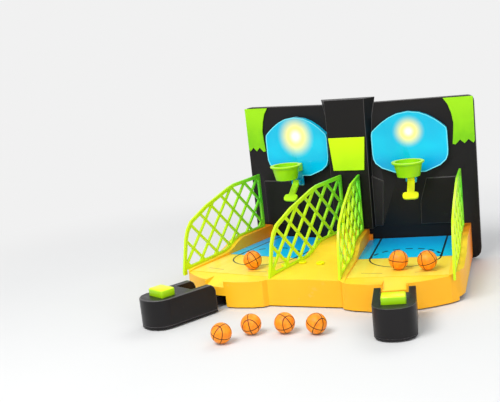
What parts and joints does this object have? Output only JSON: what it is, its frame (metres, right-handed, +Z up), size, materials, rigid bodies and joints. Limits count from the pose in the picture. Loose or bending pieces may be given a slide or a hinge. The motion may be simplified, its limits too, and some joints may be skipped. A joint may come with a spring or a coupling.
{
  "type": "tabletop basketball shoot-out game",
  "caption": "Twin tabletop basketball courts with fences, back panel with lit boards and baskets, trigger paddles, swivelling push-button ball launchers and loose balls.",
  "frame": {"origin": "on the table, under the middle of the whole set's bounding box", "axes": "+Z up, +Y from the players to the back panel, +X to the right as the players see it"},
  "size_m": [0.4174, 0.4382, 0.2605],
  "materials": {
    "base_yellow": "smooth moulded, semi-gloss golden yellow",
    "panel_black": "satin moulded black",
    "sheet_blue": "printed sheet, blue zone with black court lines",
    "lime": "smooth moulded lime",
    "flag_green": "printed sheet, green",
    "board_blue": "translucent glossy cyan",
    "steel": "drawn wire and rod",
    "rubber_black": "matte",
    "led_clear": "clear lens",
    "circuit_green": "lacquered laminate",
    "ball_orange": "satin orange with black seams"
  },
  "bodies": {
    "base": {"back_panel": "panel_black", "backboard_left": "board_blue", "backboard_right": "board_blue", "base_bottom": "panel_black", "base_shell": "base_yellow", "basket_left": "lime", "basket_right": "lime", "battery_cell_left": "steel", "battery_cell_right": "steel", "battery_door_left": "panel_black", "battery_door_right": "panel_black", "battery_holder_left": "panel_black", "battery_holder_right": "panel_black", "centre_plate": "lime", "circuit_left": "circuit_green", "circuit_right": "circuit_green", "corner_flag_left": "flag_green", "corner_flag_right": "flag_green", "court_sheet_left": "sheet_blue", "court_sheet_right": "sheet_blue", "fence_1": "lime", "fence_2": "lime", "fence_3": "lime", "fence_4": "lime", "foot_1": "rubber_black", "foot_2": "rubber_black", "foot_3": "rubber_black", "foot_4": "rubber_black", "foot_5": "rubber_black", "foot_6": "rubber_black", "led_left": "led_clear", "led_right": "led_clear", "peg_1": "lime", "peg_2": "lime", "peg_3": "lime", "swivel_pin_left": "steel", "swivel_pin_right": "steel", "trigger_pin_left": "steel", "trigger_pin_right": "steel"},
    "launcher_right": {"launcher_housing_right": "panel_black", "launcher_plate_right": "panel_black", "lever_axle_right": "steel", "lever_spring_right": "steel"},
    "cup_right": {"launch_cup_right": "base_yellow"},
    "button_right": {"launch_button_right": "lime"},
    "trigger_right": {"trigger_right": "lime"},
    "launcher_left": {"launcher_housing_left": "panel_black", "launcher_plate_left": "panel_black", "lever_axle_left": "steel", "lever_spring_left": "steel"},
    "cup_left": {"launch_cup_left": "base_yellow"},
    "button_left": {"launch_button_left": "lime"},
    "trigger_left": {"trigger_left": "lime"},
    "ball_1": {"ball_1": "ball_orange"},
    "ball_2": {"ball_2": "ball_orange"},
    "ball_3": {"ball_3": "ball_orange"},
    "ball_4": {"ball_4": "ball_orange"},
    "ball_5": {"ball_5": "ball_orange"},
    "ball_6": {"ball_6": "ball_orange"},
    "ball_7": {"ball_7": "ball_orange"}
  },
  "joints": [
    {"name": "swivel_right", "type": "hinge", "parent": "base", "child": "launcher_right", "pos_m": [0.12931, -0.04198, 0], "axis": [0, 0, 1], "range_deg": [-26, 14]},
    {"name": "swivel_left", "type": "hinge", "parent": "base", "child": "launcher_left", "pos_m": [-0.12931, -0.04198, 0], "axis": [0, 0, 1], "range_deg": [-7, 33]},
    {"name": "button_press_right", "type": "slide", "parent": "launcher_right", "child": "button_right", "axis": [0, 0, -1], "range_m": [0, 0.007], "stiffness_N_per_m": 200, "springref_m": -0.002},
    {"name": "button_press_left", "type": "slide", "parent": "launcher_left", "child": "button_left", "axis": [0, 0, -1], "range_m": [0, 0.007], "stiffness_N_per_m": 200, "springref_m": -0.002},
    {"name": "cup_throw_right", "type": "hinge", "parent": "launcher_right", "child": "cup_right", "pos_m": [0.15218, -0.12177, 0.015], "axis": [0.9613, 0.2756, 0], "range_deg": [0, 18]},
    {"name": "cup_throw_left", "type": "hinge", "parent": "launcher_left", "child": "cup_left", "pos_m": [-0.16174, -0.11839, 0.015], "axis": [0.9205, -0.3907, 0], "range_deg": [0, 18]},
    {"name": "trigger_dip_right", "type": "hinge", "parent": "base", "child": "trigger_right", "pos_m": [0.09438, 0.17627, 0.1335], "axis": [0.9848, 0.1736, 0], "range_deg": [0, 15], "stiffness_Nm_per_rad": 0.02, "springref_deg": -5.73},
    {"name": "trigger_dip_left", "type": "hinge", "parent": "base", "child": "trigger_left", "pos_m": [-0.09438, 0.17627, 0.1335], "axis": [0.9848, -0.1736, 0], "range_deg": [0, 15], "stiffness_Nm_per_rad": 0.02, "springref_deg": -5.73},
    {"name": "lift_ball_1", "type": "slide", "parent": "base", "child": "ball_1", "axis": [0, 0, 1], "range_m": [0, 0.27]},
    {"name": "lift_ball_2", "type": "slide", "parent": "base", "child": "ball_2", "axis": [0, 0, 1], "range_m": [0, 0.27]},
    {"name": "lift_ball_3", "type": "slide", "parent": "base", "child": "ball_3", "axis": [0, 0, 1], "range_m": [0, 0.27]},
    {"name": "lift_ball_4", "type": "slide", "parent": "base", "child": "ball_4", "axis": [0, 0, 1], "range_m": [0, 0.27]},
    {"name": "lift_ball_5", "type": "slide", "parent": "base", "child": "ball_5", "axis": [0, 0, 1], "range_m": [0, 0.27]},
    {"name": "lift_ball_6", "type": "slide", "parent": "base", "child": "ball_6", "axis": [0, 0, 1], "range_m": [0, 0.27]},
    {"name": "lift_ball_7", "type": "slide", "parent": "base", "child": "ball_7", "axis": [0, 0, 1], "range_m": [0, 0.27]}
  ],
  "couplings": [
    {"joint": "cup_throw_right", "follows": "button_press_right", "rad_per_m": 44.8},
    {"joint": "cup_throw_left", "follows": "button_press_left", "rad_per_m": 44.8}
  ]
}
